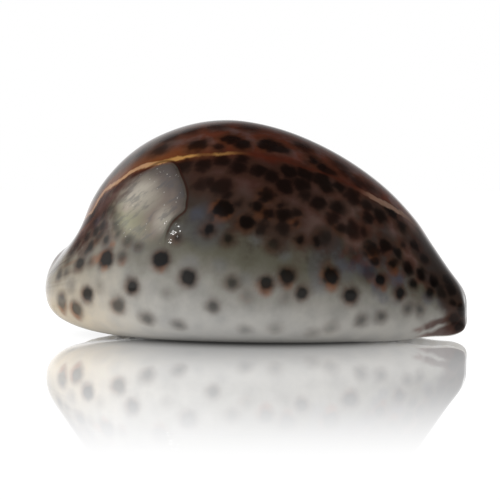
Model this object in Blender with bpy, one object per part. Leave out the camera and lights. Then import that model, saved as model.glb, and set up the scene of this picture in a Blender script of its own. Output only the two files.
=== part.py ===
"""A tiger cowrie shell, resting on its base, as one hollow solid.

Frame: +X points to the front (anterior) end, +Z up, and the outer lip is on the -Y side.
The origin is under the middle of the shell, on the surface it rests on.

The shell is a UV sphere whose two poles become the two ends of the shell. Each ring of the
sphere becomes a cross-section that runs over the outside from lip to lip, folds in at the
aperture, and lines the hollow inside. Lengths here are millimetres until the mesh is made.
"""
import math

import bmesh
import bpy
import numpy as np

MM = 0.001

# How finely the shell is faceted
RINGS = 66              # cross-sections, end to end
OUTSIDE_STEPS = 36      # columns over the outside of a cross-section
LIP_STEPS = 5           # columns over each lip
INSIDE_STEPS = 18       # columns round the hollow
SAMPLES = 160           # points on each quarter of a cross-section before it is divided evenly

# The outline seen from the side, (x, z), in the plane of the ridge
BACK_END = (-40.7, 9.0)
RIDGE = [
    (-40.0, 12.2), (-38.0, 15.1), (-34.7, 17.9), (-32.4, 21.4), (-30.8, 25.8), (-28.0, 30.2),
    (-23.6, 34.7), (-18.6, 37.8), (-11.5, 40.2), (-5.0, 41.0), (1.0, 40.4), (8.7, 38.2),
    (17.7, 33.8), (25.4, 27.8), (30.9, 21.9), (34.2, 17.3), (37.4, 13.1), (40.4, 9.0),
]
FRONT_END = (42.4, 5.3)
KEEL = [
    (41.8, 2.2), (39.4, 0.6), (34.5, 0.0), (28.0, -0.4), (20.0, -0.8), (0.0, -1.1),
    (-19.0, -0.8), (-29.0, 0.6), (-35.0, 2.5), (-39.0, 5.4),
]

# The widest line round the shell, (x, y, z), on the outer lip's side and on the inner lip's
END_Y = (3.6, -0.8)
OUTER_MARGIN = [
    (-39.5, -3.6, 8.6), (-37.3, -9.6, 8.2), (-33.5, -15.2, 8.0), (-27.0, -20.4, 8.2),
    (-17.0, -25.0, 9.0), (-5.0, -27.0, 9.5), (7.0, -26.0, 9.5), (17.0, -22.4, 9.0),
    (25.0, -17.4, 7.9), (31.0, -12.6, 6.9), (36.6, -8.2, 5.9), (40.9, -4.8, 5.4),
]
INNER_MARGIN = [
    (40.9, 3.2, 5.5), (36.6, 6.8, 6.6), (31.0, 12.2, 8.4), (25.0, 17.8, 10.0),
    (17.0, 23.0, 11.6), (7.0, 26.3, 12.5), (-5.0, 27.0, 12.8), (-17.0, 25.0, 12.3),
    (-27.0, 20.4, 11.2), (-33.5, 15.4, 10.0), (-37.4, 11.4, 9.3), (-39.6, 7.8, 9.0),
]
RIDGE_Y = 0.6           # the ridge stands a little towards the inner lip
BASE_SQUARENESS = 2.8   # exponent of the rounded base, where 2 is an ellipse
END_SQUARENESS = 2.6

# The aperture: its middle line (x, y), and half its width (x, half) before the teeth
APERTURE_LINE = [(-40.7, 3.6), (-35.0, 2.6), (-27.0, 0.4), (-14.0, -1.8), (4.0, -2.9),
                 (20.0, -2.6), (32.0, -1.6), (42.4, -0.8)]
APERTURE_HALF = [(-40.0, 1.8), (-30.0, 2.0), (-12.0, 2.4), (5.0, 2.8), (22.0, 3.1), (40.0, 3.2)]
HALF_SHARE = 0.22       # most of a small section's half width that the aperture takes
LIP_RADIUS = 3.0
LIP_RADIUS_SHARE = 0.25
LIP_FLAT = 2.6          # how far the teeth reach out over the base
LIP_FLAT_SHARE = 0.15
TROUGH_DEPTH = 1.6      # the base rises this much towards the aperture
TROUGH_REACH = 8.0
CANAL_START = 1.5       # arc length from each end where the canal begins, and where it is open
CANAL_OPEN = 5.5
CANAL_DENT = 2.6        # how far the ends are notched, half how wide, and how far up
CANAL_DENT_REACH = 3.0
CANAL_DENT_RISE = 5.0
DENT_FROM, DENT_TO = 33.0, 40.0

# Teeth, one to every two cross-sections
TOOTH_HEIGHT = 0.55     # above and below the lip's mean surface
TOOTH_FIRST, TOOTH_LAST = -31.0, 34.0
TOOTH_FADE = 3.0

# The shoulder at the back, drawn in above the thick rim
SHOULDER_DRAW = 2.4
SHOULDER_REACH = 8.0
SHOULDER_LOW, SHOULDER_HIGH = 10.0, 22.0
SHOULDER_FROM, SHOULDER_TO = -14.0, -30.0

# The wall
END_WALL = 5.6
SIDE_WALL = 3.0
TOP_WALL = 2.4
BASE_WALL = 5.2

# The dimple over the sunken spire
SPIRE_PLACE = (-35.5, 8.0, 14.0)
SPIRE_DEPTH = 1.3
SPIRE_REACH = 4.0

SHELL_COLOUR = (0.62, 0.58, 0.54, 1.0)
SHELL_ROUGHNESS = 0.12


def smooth_loop(points, per_span=40):
    """A closed centripetal Catmull-Rom curve through the points."""
    points = np.array(points, float)
    count = len(points)
    samples = []
    for i in range(count):
        p0, p1, p2, p3 = (points[(i + k) % count] for k in (-1, 0, 1, 2))
        knots = [0.0]
        for a, b in ((p0, p1), (p1, p2), (p2, p3)):
            knots.append(knots[-1] + math.sqrt(np.linalg.norm(b - a)))
        t0, t1, t2, t3 = knots
        for t in np.linspace(t1, t2, per_span, endpoint=False):
            a1 = ((t1 - t) * p0 + (t - t0) * p1) / (t1 - t0)
            a2 = ((t2 - t) * p1 + (t - t1) * p2) / (t2 - t1)
            a3 = ((t3 - t) * p2 + (t - t2) * p3) / (t3 - t2)
            b1 = ((t2 - t) * a1 + (t - t0) * a2) / (t2 - t0)
            b2 = ((t3 - t) * a2 + (t - t1) * a3) / (t3 - t1)
            samples.append(((t2 - t) * b1 + (t - t1) * b2) / (t2 - t1))
    return np.array(samples)


def evenly(path, steps):
    """steps + 1 points at equal distances along a path of close points."""
    gaps = np.linalg.norm(np.diff(path, axis=0), axis=1)
    along = np.concatenate([[0.0], np.cumsum(gaps)])
    wanted = np.linspace(0.0, along[-1], steps + 1)
    return np.stack([np.interp(wanted, along, path[:, k]) for k in range(path.shape[1])], axis=1)


def rails():
    """The four lines that carry the cross-sections, each from the back end to the front end."""
    per_span = 40
    back = (BACK_END[0], END_Y[0], BACK_END[1])
    front = (FRONT_END[0], END_Y[1], FRONT_END[1])
    line_x, line_y = zip(*APERTURE_LINE)
    ridge = [(x, RIDGE_Y, z) for x, z in RIDGE]
    keel = [(x, float(np.interp(x, line_x, line_y)), z) for x, z in KEEL]
    profile = smooth_loop([back, *ridge, front, *keel], per_span)
    margin = smooth_loop([back, *OUTER_MARGIN, front, *INNER_MARGIN], per_span)
    turn = (len(ridge) + 1) * per_span
    side_turn = (len(OUTER_MARGIN) + 1) * per_span
    top = profile[: turn + 1]
    bottom = np.vstack([profile[turn:], profile[:1]])[::-1]
    outer = margin[: side_turn + 1]
    inner = np.vstack([margin[side_turn:], margin[:1]])[::-1]
    return [evenly(line, RINGS) for line in (top, bottom, outer, inner)]


def smooth_least(a, b, sharpness=4.0):
    """The smaller of two positive numbers, blended where they are alike."""
    return (a ** -sharpness + b ** -sharpness) ** (-1.0 / sharpness)


def smooth_step(low, high, value):
    share = np.clip((value - low) / (high - low), 0.0, 1.0)
    return share * share * (3.0 - 2.0 * share)


def quarter(centre_y, side, extreme, exponent, angles):
    """A quarter of a rounded section, from angle 0 at the top or bottom to 90 degrees at the side."""
    across = np.sin(angles) ** (2.0 / exponent)
    up = np.cos(angles) ** (2.0 / exponent)
    x = side[0] * np.sin(angles) ** 2 + extreme[0] * np.cos(angles) ** 2
    y = centre_y + (side[1] - centre_y) * across
    z = side[2] + (extreme[2] - side[2]) * up
    return np.stack([x, y, z], axis=1)


def base_relief(points, line_y, strength):
    """Lifts the base towards the aperture, and flattens what would reach below the surface it rests on."""
    lift = TROUGH_DEPTH * strength * np.exp(-(((points[:, 1] - line_y) / TROUGH_REACH) ** 2))
    points[:, 2] = np.maximum(points[:, 2] + lift, 0.0)
    return points


def lip(start, line_y, half, radius, side):
    """From the base over a rounded lip to the aperture. side is 1 on the inner lip and -1 on the outer."""
    bend = np.linspace(0.0, math.pi / 2, SAMPLES)
    y = line_y + side * (half + radius * (1.0 - np.sin(bend)))
    z = start[2] + radius * (1.0 - np.cos(bend))
    round_part = np.stack([np.full_like(y, start[0]), y, z], axis=1)
    return evenly(np.vstack([start[None, :], round_part]), LIP_STEPS)


def cross_section(index, lines):
    """One closed loop: over the outside, in over the inner lip, round the hollow, out over the outer lip."""
    top, bottom, outer, inner = (line[index] for line in lines)
    line_y = bottom[1]
    half_width = (inner[1] - outer[1]) / 2.0
    strength = min(1.0, half_width / 20.0)
    squareness = END_SQUARENESS + (BASE_SQUARENESS - END_SQUARENESS) * strength
    half_x, half_values = zip(*APERTURE_HALF)
    half = smooth_least(float(np.interp(bottom[0], half_x, half_values)), HALF_SHARE * half_width)
    radius = smooth_least(LIP_RADIUS, LIP_RADIUS_SHARE * half_width)
    flat = smooth_least(LIP_FLAT, LIP_FLAT_SHARE * half_width)
    reach = half + radius + flat

    def start_angle(side):
        return math.asin(min(1.0, reach / abs(side[1] - line_y)) ** (squareness / 2.0))

    quarter_turn = math.pi / 2
    down_outer = quarter(line_y, outer, bottom, squareness,
                         np.linspace(start_angle(outer), quarter_turn, SAMPLES))
    up_outer = quarter(top[1], outer, top, 2.0, np.linspace(quarter_turn, 0.0, SAMPLES))
    up_inner = quarter(top[1], inner, top, 2.0, np.linspace(0.0, quarter_turn, SAMPLES))
    down_inner = quarter(line_y, inner, bottom, squareness,
                         np.linspace(quarter_turn, start_angle(inner), SAMPLES))
    base_relief(down_outer, line_y, strength)
    base_relief(down_inner, line_y, strength)
    outside = evenly(np.vstack([down_outer, up_outer[1:], up_inner[1:], down_inner[1:]]), OUTSIDE_STEPS)

    inner_lip = lip(outside[-1], line_y, half, radius, 1.0)
    outer_lip = lip(outside[0], line_y, half, radius, -1.0)[::-1]
    hollow = evenly(hollow_path(top, bottom, outer, inner, line_y, half, inner_lip[-1], outer_lip[0]),
                    INSIDE_STEPS)
    folded = np.vstack([inner_lip, hollow[1:-1], outer_lip])

    # Towards each end the fold grows shallow, and at the very end it lies flush with the outside.
    flush_angles = np.linspace(start_angle(inner), 0.0, SAMPLES)
    flush = np.vstack([
        quarter(line_y, inner, bottom, squareness, flush_angles),
        quarter(line_y, outer, bottom, squareness, np.linspace(0.0, start_angle(outer), SAMPLES))[1:],
    ])
    base_relief(flush, line_y, strength)
    flush = evenly(flush, len(folded) - 1)
    depth = canal_depth(index, lines[1])
    folded = flush + (folded - flush) * depth
    folded = add_teeth(folded, index, bottom[0])
    return np.vstack([outside[:-1], folded[:-1]])


def hollow_path(top, bottom, outer, inner, line_y, half, from_point, to_point):
    """The lining: a smaller copy of the section, open below between the two walls of the aperture."""
    length_share = 1.0 - END_WALL / abs(BACK_END[0])
    width_share = 1.0 - SIDE_WALL / abs(OUTER_MARGIN[5][1])
    height = max(z for _, z in RIDGE)
    height_share = (height - TOP_WALL - BASE_WALL) / height

    def shrink(point):
        y = line_y + (point[1] - line_y) * width_share
        return np.array([point[0] * length_share, y, BASE_WALL + point[2] * height_share])

    top, bottom, outer, inner = (shrink(p) for p in (top, bottom, outer, inner))
    quarter_turn = math.pi / 2
    exponent = 2.3

    def gap_angle(side):
        return math.asin(min(1.0, half / abs(side[1] - line_y)) ** (exponent / 2.0))

    return np.vstack([
        from_point[None, :],
        quarter(line_y, inner, bottom, exponent, np.linspace(gap_angle(inner), quarter_turn, SAMPLES)),
        quarter(top[1], inner, top, exponent, np.linspace(quarter_turn, 0.0, SAMPLES))[1:],
        quarter(top[1], outer, top, exponent, np.linspace(0.0, quarter_turn, SAMPLES))[1:],
        quarter(line_y, outer, bottom, exponent, np.linspace(quarter_turn, gap_angle(outer), SAMPLES))[1:],
        to_point[None, :],
    ])


def canal_depth(index, keel):
    """0 at the ends of the shell, where there is no fold, and 1 where the aperture is fully open."""
    gap = np.linalg.norm(keel[1] - keel[0])
    from_end = gap * min(index, RINGS - index)
    return smooth_step(CANAL_START, CANAL_OPEN, from_end)


def add_teeth(folded, index, x):
    """Raises or sinks both lips by turns from section to section, but never below where the shell rests."""
    fade = smooth_step(TOOTH_FIRST, TOOTH_FIRST + TOOTH_FADE, x) * (
        1.0 - smooth_step(TOOTH_LAST - TOOTH_FADE, TOOTH_LAST, x))
    height = TOOTH_HEIGHT * fade * (1.0 if index % 2 else -1.0)
    along = np.gradient(folded, axis=0)
    normal = np.stack([np.zeros(len(folded)), along[:, 2], -along[:, 1]], axis=1)
    normal /= np.maximum(np.linalg.norm(normal, axis=1), 1e-9)[:, None]
    window = np.zeros(len(folded))
    share = np.linspace(0.0, 1.0, LIP_STEPS + 1)
    rise = np.sin(math.pi * np.clip(share, 0.0, 1.0) * 0.8) ** 0.8
    window[: LIP_STEPS + 1] = rise
    window[-LIP_STEPS - 1:] = rise[::-1]
    toothed = folded - normal * (height * window)[:, None]
    toothed[:, 2] = np.maximum(toothed[:, 2], 0.0)
    return toothed


def notch_ends(points):
    """Draws the middle of each end in, so that the lips stand out on both sides of the canals."""
    back = points[..., 0] < 0
    near_end = smooth_step(DENT_FROM, DENT_TO, np.abs(points[..., 0]))
    across = np.exp(-(((points[..., 1] - np.where(back, *END_Y)) / CANAL_DENT_REACH) ** 2))
    above = np.maximum(points[..., 2] - np.where(back, BACK_END[1], FRONT_END[1]), 0.0)
    near_end = near_end * np.exp(-((above / CANAL_DENT_RISE) ** 2))
    points[..., 0] -= np.sign(points[..., 0]) * CANAL_DENT * near_end * across
    return points


def draw_in_shoulder(points):
    """Narrows the back of the dome above its rim, so that the rim stands out round the end."""
    beside_ridge = 1.0 - np.exp(-(((points[..., 1] - RIDGE_Y) / SHOULDER_REACH) ** 2))
    height = smooth_step(SHOULDER_LOW, SHOULDER_HIGH, points[..., 2])
    along = smooth_step(-SHOULDER_FROM, -SHOULDER_TO, -points[..., 0])
    points[..., 0] += SHOULDER_DRAW * beside_ridge * height * along
    return points


def sink_spire(points):
    """The shallow dimple at the back, on the inner lip's side, over the sunken spire."""
    away = points - np.array(SPIRE_PLACE)
    depth = SPIRE_DEPTH * np.exp(-(np.linalg.norm(away, axis=-1) / SPIRE_REACH) ** 2)
    points[..., 0] += depth
    return points


def shell_points():
    """All cross-sections from end to end, as an array of (cross-section, column, xyz)."""
    lines = rails()
    sections = [cross_section(i, lines) for i in range(1, RINGS)]
    ends = [np.tile(lines[0][i], (len(sections[0]), 1)) for i in (0, RINGS)]
    points = np.stack([ends[0], *sections, ends[1]])
    points = sink_spire(draw_in_shoulder(notch_ends(points)))
    low = points.min(axis=(0, 1))
    high = points.max(axis=(0, 1))
    points[..., :2] -= (low[:2] + high[:2]) / 2.0
    return points


def make_shell(collection):
    points = shell_points() * MM
    columns = points.shape[1]
    sphere = bmesh.new()
    bmesh.ops.create_uvsphere(sphere, u_segments=columns, v_segments=RINGS, radius=1.0)
    for vertex in sphere.verts:
        ring = round(math.acos(max(-1.0, min(1.0, vertex.co.z))) / math.pi * RINGS)
        column = round(math.atan2(vertex.co.y, vertex.co.x) / (2.0 * math.pi) * columns) % columns
        vertex.co = points[ring, column]
    bmesh.ops.recalc_face_normals(sphere, faces=sphere.faces)
    bmesh.ops.triangulate(sphere, faces=sphere.faces)
    mesh = bpy.data.meshes.new("cowrie_shell")
    sphere.to_mesh(mesh)
    sphere.free()
    mesh.shade_smooth()
    shell = bpy.data.objects.new("cowrie_shell", mesh)
    shell.data.materials.append(shell_material())
    collection.objects.link(shell)
    return shell


def shell_material():
    material = bpy.data.materials.new("cowrie_shell")
    material.use_nodes = True
    surface = material.node_tree.nodes["Principled BSDF"]
    surface.inputs["Base Color"].default_value = SHELL_COLOUR
    surface.inputs["Roughness"].default_value = SHELL_ROUGHNESS
    surface.inputs["Metallic"].default_value = 0.0
    return material


def main():
    for item in list(bpy.data.objects):
        bpy.data.objects.remove(item)
    collection = bpy.data.collections.new("tiger_cowrie_shell")
    bpy.context.scene.collection.children.link(collection)
    make_shell(collection)


main()
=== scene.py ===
"""A tiger cowrie shell on a polished white table, dressed with its spots, its dorsal line and its glaze.

The shell is grown again here from the same lines as the solid, at a finer grain, so that the teeth are
round and the pattern has room. Lengths are millimetres until the mesh is made. +X is the front end,
and the outer lip is on the -Y side, which faces the camera.
"""

import math

import bpy
import numpy as np
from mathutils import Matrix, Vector
from mathutils.bvhtree import BVHTree


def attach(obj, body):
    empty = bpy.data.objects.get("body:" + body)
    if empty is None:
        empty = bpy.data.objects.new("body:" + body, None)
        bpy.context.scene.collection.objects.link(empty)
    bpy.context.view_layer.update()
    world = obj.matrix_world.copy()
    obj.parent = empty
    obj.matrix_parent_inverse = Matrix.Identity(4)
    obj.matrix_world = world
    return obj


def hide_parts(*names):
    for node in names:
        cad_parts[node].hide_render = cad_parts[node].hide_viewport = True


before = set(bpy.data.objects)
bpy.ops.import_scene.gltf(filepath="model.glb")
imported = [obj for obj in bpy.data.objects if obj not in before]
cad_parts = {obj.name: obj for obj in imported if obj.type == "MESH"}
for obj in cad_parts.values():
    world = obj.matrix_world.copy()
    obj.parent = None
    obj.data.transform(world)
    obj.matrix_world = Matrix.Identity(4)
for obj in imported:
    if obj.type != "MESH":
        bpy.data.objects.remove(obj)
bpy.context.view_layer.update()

MM = 0.001
SEED = 41

# The camera. At the shell's middle, one millimetre is PIXELS_PER_MM of the 500 by 500 picture.
LENS, SENSOR, PICTURE = 120.0, 36.0, 500
CAMERA_TURN, CAMERA_RISE = 10.0, 2.8
CAMERA_AWAY = 318.24
CAMERA_ACROSS, CAMERA_UP = -0.656, 16.18

# How finely the shell is grown
GRAIN = 4               # fine cross-sections to one of the solid's
RINGS = 66 * GRAIN
OUTSIDE_STEPS = 300
LIP_STEPS = 14
LIP_MARGIN = 6          # outside steps beside each lip that are bare like it
INSIDE_STEPS = 24
EASE_REACH = 9          # outside steps over which a change of curve is softened
BASE_EASE = 0.12        # how softly the base turns flat where it rests
SAMPLES = 400

# The outline seen from the side, (x, z), in the plane of the ridge
BACK_END = (-40.7, 9.0)
RIDGE = [
    (-40.0, 12.2), (-38.0, 15.1), (-34.7, 17.9), (-32.4, 21.4), (-30.8, 25.8), (-28.0, 30.0),
    (-23.6, 34.4), (-18.6, 37.6), (-11.5, 40.2), (-5.0, 41.0), (1.0, 40.4), (8.7, 38.2),
    (17.7, 33.8), (25.6, 28.1), (31.2, 22.2), (34.4, 17.5), (37.4, 13.1), (40.4, 9.0),
]
FRONT_END = (42.4, 5.3)
KEEL = [
    (41.8, 1.8), (39.4, 0.4), (34.5, 0.0), (28.0, -0.7), (20.0, -0.8), (0.0, -0.8),
    (-19.0, -0.5), (-29.0, 0.4), (-35.0, 1.9), (-39.0, 5.0),
]

# The widest line round the shell, (x, y, z), on the outer lip's side and on the inner lip's
END_Y = (3.6, -0.8)
OUTER_MARGIN = [
    (-39.5, -3.6, 8.6), (-37.3, -9.6, 8.2), (-33.5, -15.2, 8.0), (-27.0, -20.4, 8.2),
    (-17.0, -25.0, 9.0), (-5.0, -27.0, 9.5), (7.0, -26.0, 9.5), (17.0, -22.4, 9.0),
    (25.0, -17.4, 7.9), (31.0, -12.6, 6.9), (36.6, -8.2, 5.9), (40.9, -4.8, 5.4),
]
INNER_MARGIN = [
    (40.9, 3.2, 5.5), (36.6, 6.8, 6.6), (31.0, 12.2, 8.4), (25.0, 17.8, 10.0),
    (17.0, 23.0, 11.6), (7.0, 26.3, 12.5), (-5.0, 27.0, 12.8), (-17.0, 25.0, 12.3),
    (-27.0, 20.4, 11.2), (-33.5, 15.4, 10.0), (-37.4, 11.4, 9.3), (-39.6, 7.8, 9.0),
]
RIDGE_Y = 0.6
BASE_SQUARENESS = 2.8
END_SQUARENESS = (2.6, 3.9)     # at the back end and at the front end

# The aperture, its lips and the canals at its ends
APERTURE_LINE = [(-40.7, 3.6), (-35.0, 2.6), (-27.0, 0.4), (-14.0, -1.8), (4.0, -2.9),
                 (20.0, -2.6), (32.0, -1.6), (42.4, -0.8)]
APERTURE_HALF = [(-40.0, 1.8), (-30.0, 2.0), (-12.0, 2.4), (5.0, 2.8), (22.0, 3.1), (40.0, 3.2)]
HALF_SHARE = 0.22       # the most that the aperture takes of a small section's half width
LIP_RADIUS, LIP_RADIUS_SHARE = 3.0, 0.25
LIP_FLAT, LIP_FLAT_SHARE = 2.6, 0.15    # how far the teeth reach out over the base
TROUGH_DEPTH, TROUGH_REACH = 1.6, 8.0   # the base rises towards the aperture
CANAL_START, CANAL_OPEN = 1.5, 5.5      # from each end, along the keel
CANAL_DENT, CANAL_DENT_RISE = (2.6, 1.8), (5.0, 2.4)   # at the back end and at the front end
CANAL_DENT_REACH = 3.0
DENT_FROM, DENT_TO = 33.0, 40.0
TOOTH_HEIGHT = 0.55
TOOTH_ROUNDNESS = 0.75  # under 1 widens the teeth and narrows the grooves between them
TOOTH_FIRST, TOOTH_LAST, TOOTH_FADE = -29.0, 33.0, 4.0

# The shoulder at the back, the wall, and the dimple over the sunken spire
SHOULDER_DRAW, SHOULDER_REACH = 2.4, 8.0
SHOULDER_LOW, SHOULDER_HIGH = 10.0, 22.0
SHOULDER_FROM, SHOULDER_TO = -14.0, -30.0
END_WALL, SIDE_WALL, TOP_WALL, BASE_WALL = 5.6, 3.0, 2.4, 5.2
HOLLOW_SQUARENESS = 2.3
SPIRE_PLACE, SPIRE_DEPTH, SPIRE_REACH = (-35.5, 8.0, 14.0), 1.3, 4.0

# Places on the side that the camera sees are pixels of the picture, across and down.
DORSAL_LINE = [
    (89, 218), (98.6, 199), (106, 189), (119, 181), (129, 173), (145, 165), (169, 160), (189, 156),
    (205, 154), (229, 153.5), (245, 153.6), (261, 156), (280, 159), (307, 168), (325, 173), (354, 186),
    (370, 195), (387, 205), (404, 214),
]
DORSAL_RUN_ON = [(-40.0, 3.6), (-33.0, -1.5), (31.0, -1.5), (41.5, -0.8)]   # (x, y) seen from above
DORSAL_STEPS = (12, 12, 16)     # places on each of its stretches, and where it runs on, back and front
GLAZE_PATCH = [
    (113, 200), (120, 188), (133, 177), (148, 169), (160, 163), (172, 162), (177, 166), (181, 175),
    (185, 185), (187, 195), (186, 203), (185, 210), (178, 216), (172, 222), (168, 229), (165, 238),
    (163, 250), (150, 254), (135, 250), (122, 242), (113, 228), (109, 212),
]
PATCH_RISE = 0.35
PATCH_LEDGE = (-0.3, 0.8)       # how far outside and inside its outline the patch rises
FUZZY_LEDGE = (-1.8, 4.3)       # and towards the back, where its edge is fuzzy
PATCH_FUZZY_TO, PATCH_SHARP_FROM = 146, 166
PATCH_FADES = (17.0, 22.0)      # heights between which the patch thins out
# The thin veil's upper edge, and its middle and reach
VEIL_EDGE = [(176, 218), (185, 211), (195, 204), (206, 199), (217, 196), (232, 194)]
VEIL_MIDDLE, VEIL_REACH = (205, 226), (27, 30)
# The broken glint beside the patch: across, down, and the radius of each speck
GLINTS = [
    (173, 231, 0.42), (175, 227.5, 0.34), (179.5, 227, 0.46), (180.5, 231, 0.3), (176.5, 232.5, 0.34),
    (173, 235.5, 0.42), (176.5, 236, 0.24), (171, 239.5, 0.24), (170, 243, 0.36),
]
# The pale places are partly the patch's pale glaze and partly a painted sheen, the light that the patch
# mirrors.
PALE_GLAZE_AND_SHEEN = [(135, 192, 32, 26), (165, 222, 15, 20)]    # across, down, and the reach both ways
# Clouds under the glaze: across, down, and radius
BLUE_CLOUDS = [
    (367, 270, 9), (352, 266, 6), (427, 298, 6), (441, 300, 6), (384, 298, 6), (400, 280, 5),
    (97, 222, 6), (197, 214, 7), (62, 296, 4),
]
AMBER_CLOUDS = [
    (94, 260, 6), (63, 312, 5), (78, 318, 5), (95, 242, 5), (122, 261, 5), (374, 255, 7), (394, 271, 5),
    (332, 287, 6), (266, 291, 6), (160, 267, 6), (112, 245, 5), (384, 288, 4), (288, 285, 5),
]

# The glint's lamps, metres from the dome, which bends like a ball of this radius in metres
LAMP_AWAY, LAMP_BRIGHTNESS = 0.42, 110.0
DOME_BEND = 0.022

# The table: half its side in metres, how strongly it mirrors, and the ovals that its painted light
# and the painted shadow round the shell's foot go by, each half as wide and half as deep as told in
# millimetres
TABLE_HALF, TABLE_MIRROR = 2.0, 0.8
FOOT_SHADOW_OVAL, TABLE_OVAL = (29.0, 19.0), (150.0, 140.0)

# The height at which the dark dome takes over from the pale flank, (x, z) in millimetres
DOME_EDGE = [
    (-44, 11), (-38, 14), (-33, 15.5), (-27, 18.5), (-20, 23), (-10, 22.5), (0, 19.3), (10, 17),
    (20, 15.3), (30, 12.5), (36, 9.5), (44, 6),
]
FAR_DOME_EDGE_LIFT = 2.0        # it stands this much higher on the inner lip's side
FAR_SIDE_FROM, FAR_SIDE_TO = -4.0, 8.0
DOME_EDGE_SCALE = 19.0          # heights are told as if the edge stood this high all along

# Spots: across, down, radius, faintness (0 is black and crisp, 1 is a breath), and amber in the rim
BACK_SPOTS = [
    (106, 258, 8, .05, .8), (90, 246, 5, .2, .2), (80, 264, 5.5, .15, .2), (59, 276, 4, .4, 0),
    (87, 294, 6.5, .1, .3), (132, 286, 7, .05, .2), (118, 305, 7, .35, .4), (76, 309, 6.5, .35, .9),
    (62, 302, 6, .45, .9), (147, 319, 5.5, .5, .1), (179, 325, 4.5, .6, 0), (99, 286, 3, .85, 0),
    (122, 257, 5, .5, .1), (138, 246, 3, .15, 0), (128, 240, 5.5, .45, .2), (117, 228, 5, .6, .1),
    (72, 286, 3, .85, 0), (167, 294, 3, .95, 0),
]
# Short dark strokes between the spots at the back end
BACK_STROKES = [
    (92, 214, 3.5, .3, 0), (110, 210, 4, .35, 0), (106, 240, 4, .3, .2), (90, 262, 3, .5, 0),
    (88, 236, 3.5, .4, .1), (86, 252, 3.5, .4, 0), (95, 222, 3.5, .4, 0), (96, 231, 4, .25, .1),
    (97, 240, 4, .35, .2), (103, 216, 3.5, .4, 0), (103, 225, 4, .25, .1), (101, 234, 3.5, .4, .3),
    (116, 215, 3.5, .5, 0), (117, 223, 4.5, .35, .1), (118, 232, 4, .45, .3), (68, 262, 3, .6, 0),
    (72, 252, 3, .6, 0), (66, 272, 3, .6, 0), (78, 245, 3, .6, 0),
]
FLANK_SPOTS = [
    (161, 259, 8.5, 0, .3), (188, 278, 8, .05, .1), (209, 230, 7.5, 0, .2), (233, 283, 6, .35, .1),
    (213, 306, 5.5, .4, 0), (266, 284, 7.5, .1, .4), (287, 276, 8, .1, .3), (302, 293, 6.5, .1, .15),
    (247, 296, 5, .9, .4), (286, 297, 4, .9, .1), (331, 276, 8.5, .05, .65), (351, 296, 7.2, .05, .3),
    (228, 239, 6, .2, .1), (272, 244, 7, .35, .1), (300, 241, 5.5, 0, .1), (317, 241, 5, 0, 0),
    (325, 238, 7, .4, 0), (352, 253, 5.5, .5, 0), (245, 329.5, 3.5, .9, 0), (275, 329, 4, .85, 0),
    (313, 333, 4, .9, .1), (331, 328, 5, .8, 0), (177, 238, 5, .3, .3),
]
DOME_SPOTS = [
    (223, 209, 10, 0, .6), (221, 187, 10, .25, 0), (228, 194, 5, .15, 0), (210, 182, 6, .3, 0),
    (238, 203, 5, .2, 0), (247, 223, 8.5, 0, .2), (258, 207, 6.5, .05, .1), (266, 213, 6.5, .05, .4),
    (268, 195, 8, .05, .2), (283, 215, 8, .05, .1), (281, 205, 5, .1, .1), (262, 228, 7, .3, 0),
    (283, 229, 7, .3, 0), (298, 213, 4.5, .2, .3), (297, 222, 4, .2, .5), (305, 196, 6.5, .15, 0),
    (318, 203, 8, .1, 0), (285, 186, 9, .1, 0), (300, 184, 8, .1, 0), (271, 176, 8, .1, 0),
    (259, 171, 8, .1, 0), (238, 168, 8, .15, 0), (203, 165, 8, .2, 0), (222, 161, 7, .2, 0),
    (243, 159, 6, .15, 0), (290, 171, 8, .1, 0), (305, 174, 8, .1, 0), (322, 180, 8, .1, 0),
    (328, 189, 7, .1, 0), (340, 187, 6, .1, 0), (184, 165, 8, .3, 0), (200, 185, 7, .4, 0),
]
FRONT_SPOTS = [
    (352, 196, 8, .15, 0), (338, 207, 8, .1, 0), (334, 218, 7, .15, 0), (341, 228, 6.5, .1, .2),
    (353, 230, 8.5, .15, 0), (363, 231, 5.5, .15, 0), (369, 218, 6, .1, .1), (380, 215, 7.5, .1, 0),
    (368, 205, 6, .2, 0), (391, 212, 6, .1, 0), (401, 226, 5, .15, 0), (385, 246, 7.5, .05, .1),
    (372, 250, 8, .1, .3), (375, 261, 6, .15, .5), (381, 280, 6.5, 0, .3), (394, 263, 6, 0, .2),
    (397, 253, 5, .1, 0), (403, 245, 4.5, .1, .2), (400, 293, 6.2, 0, .2), (408, 269, 6.3, 0, 0),
    (421, 275, 5.8, 0, 0), (433, 282, 5.8, 0, 0), (413, 284, 5, .1, 0), (430, 292, 5.5, .15, 0),
    (416, 247, 5.5, .1, 0), (424, 258, 4, .2, 0), (448, 281, 6, .3, 0), (451, 289, 7, .3, 0),
    (441, 292, 6, .4, 0), (453, 303, 4.5, .3, .1), (454, 318, 7, .3, .2), (462, 310, 6, .3, 0),
    (460, 326, 6, .2, 0), (408, 308, 4.4, .45, 0), (420, 310, 4.2, .45, 0), (381, 317, 4.6, .45, 0),
    (361, 321, 4.6, .5, 0), (369, 272, 8, .7, 0), (352, 258, 6, .8, 0),
]
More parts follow.
